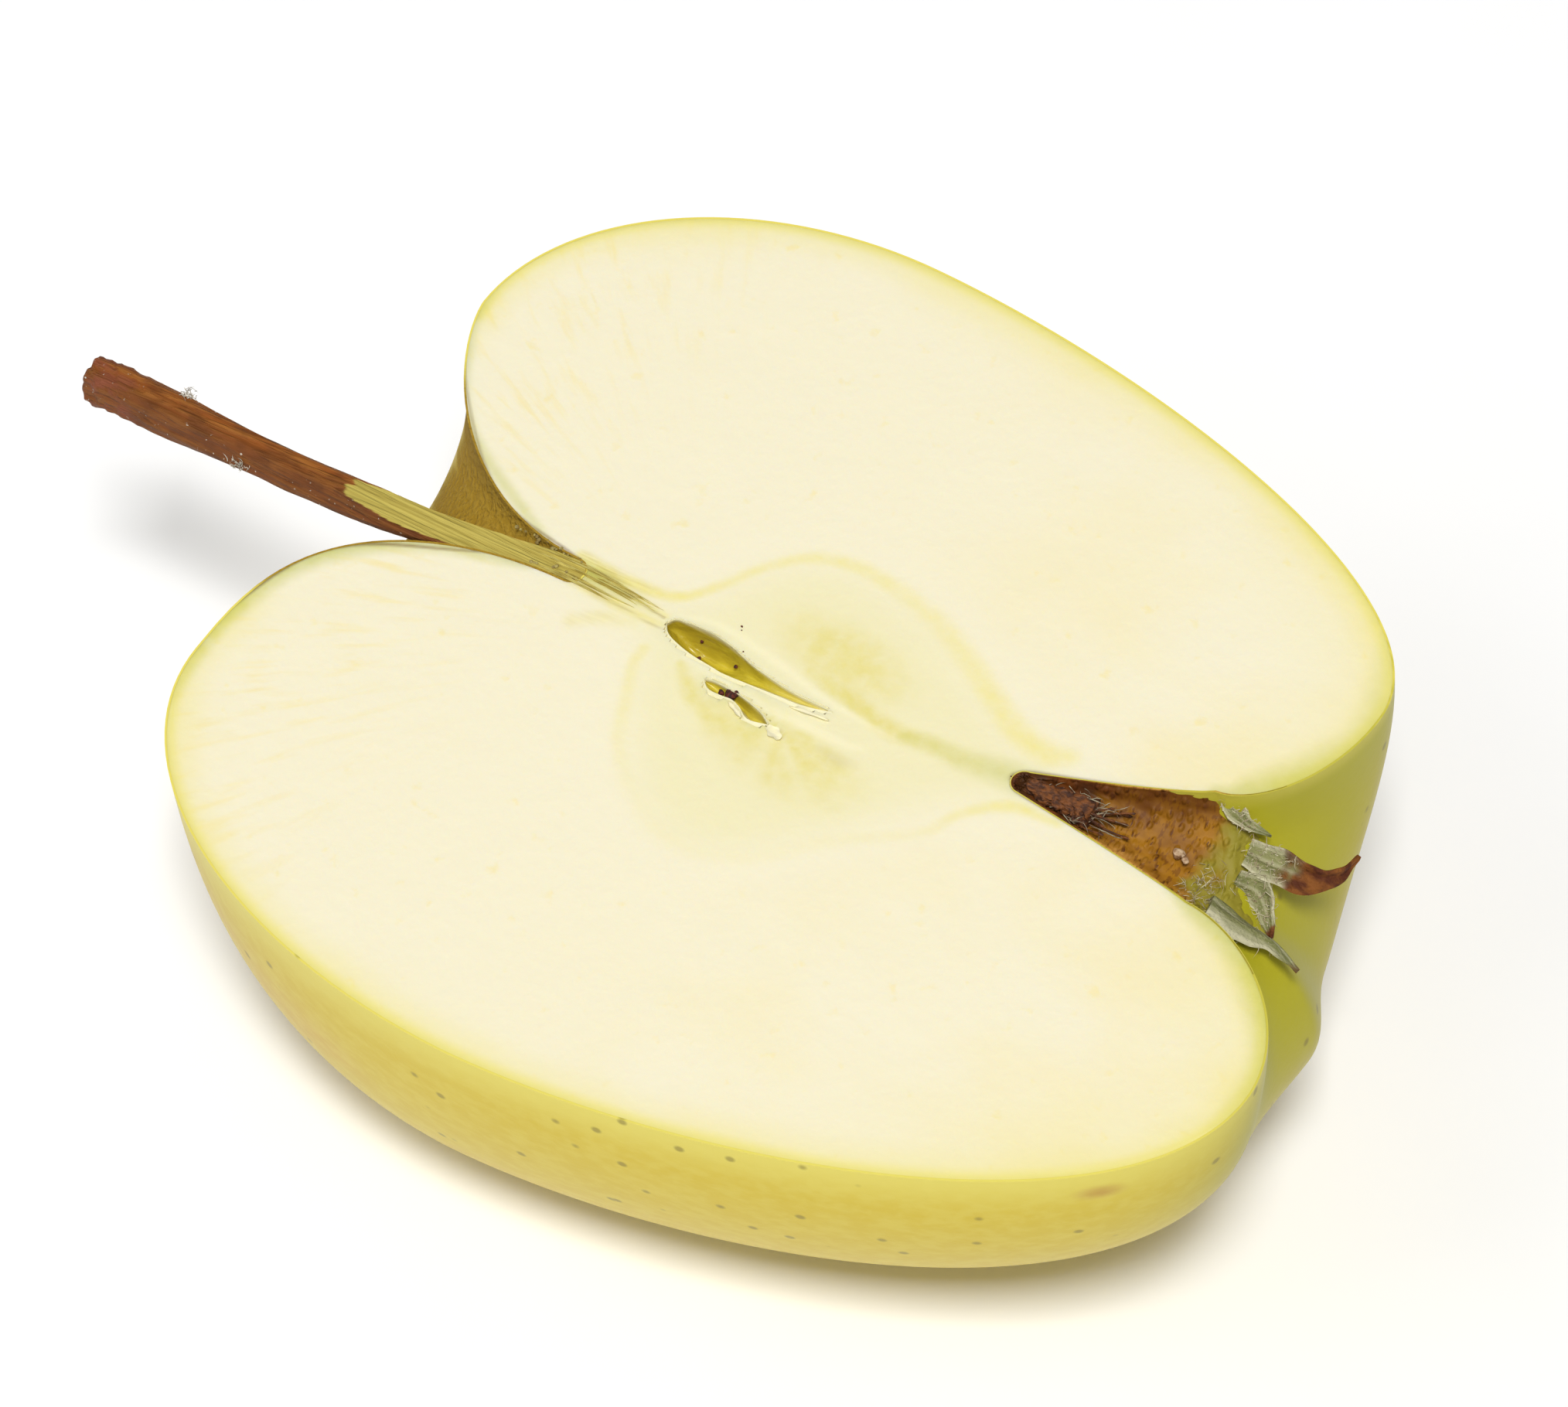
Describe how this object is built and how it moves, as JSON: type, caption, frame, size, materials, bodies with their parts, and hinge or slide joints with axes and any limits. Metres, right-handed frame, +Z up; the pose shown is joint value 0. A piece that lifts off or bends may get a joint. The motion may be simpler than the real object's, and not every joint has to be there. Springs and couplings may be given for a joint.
{
  "type": "apple half",
  "caption": "Half of a tall yellow apple cut lengthwise through the core, lying on its back with the cut face up, with its stem, open seed cells and dried flower end.",
  "frame": {"origin": "on the ground, under the middle of the part's box", "axes": "+X along the core from the stem to the flower end, +Z up, and the cut face leans 10.3 degrees towards -Y"},
  "size_m": [0.1042, 0.0722, 0.0418],
  "materials": {
    "flesh": "moist pale cream apple flesh, freshly cut",
    "skin": "thin waxy yellow skin with small dots, greener at the flower end",
    "stem": "dry ridged reddish brown bark, yellow-green where it was sliced",
    "sepal": "dry woolly grey-green leaf with brown tips",
    "stamen": "dark brown dried flower threads"
  },
  "bodies": {
    "root": {"flesh": "flesh", "stem": "stem", "sepal_curled": "sepal", "sepal_long": "sepal", "sepal_short": "sepal", "sepal_low": "sepal", "stamens": "stamen"}
  },
  "joints": []
}
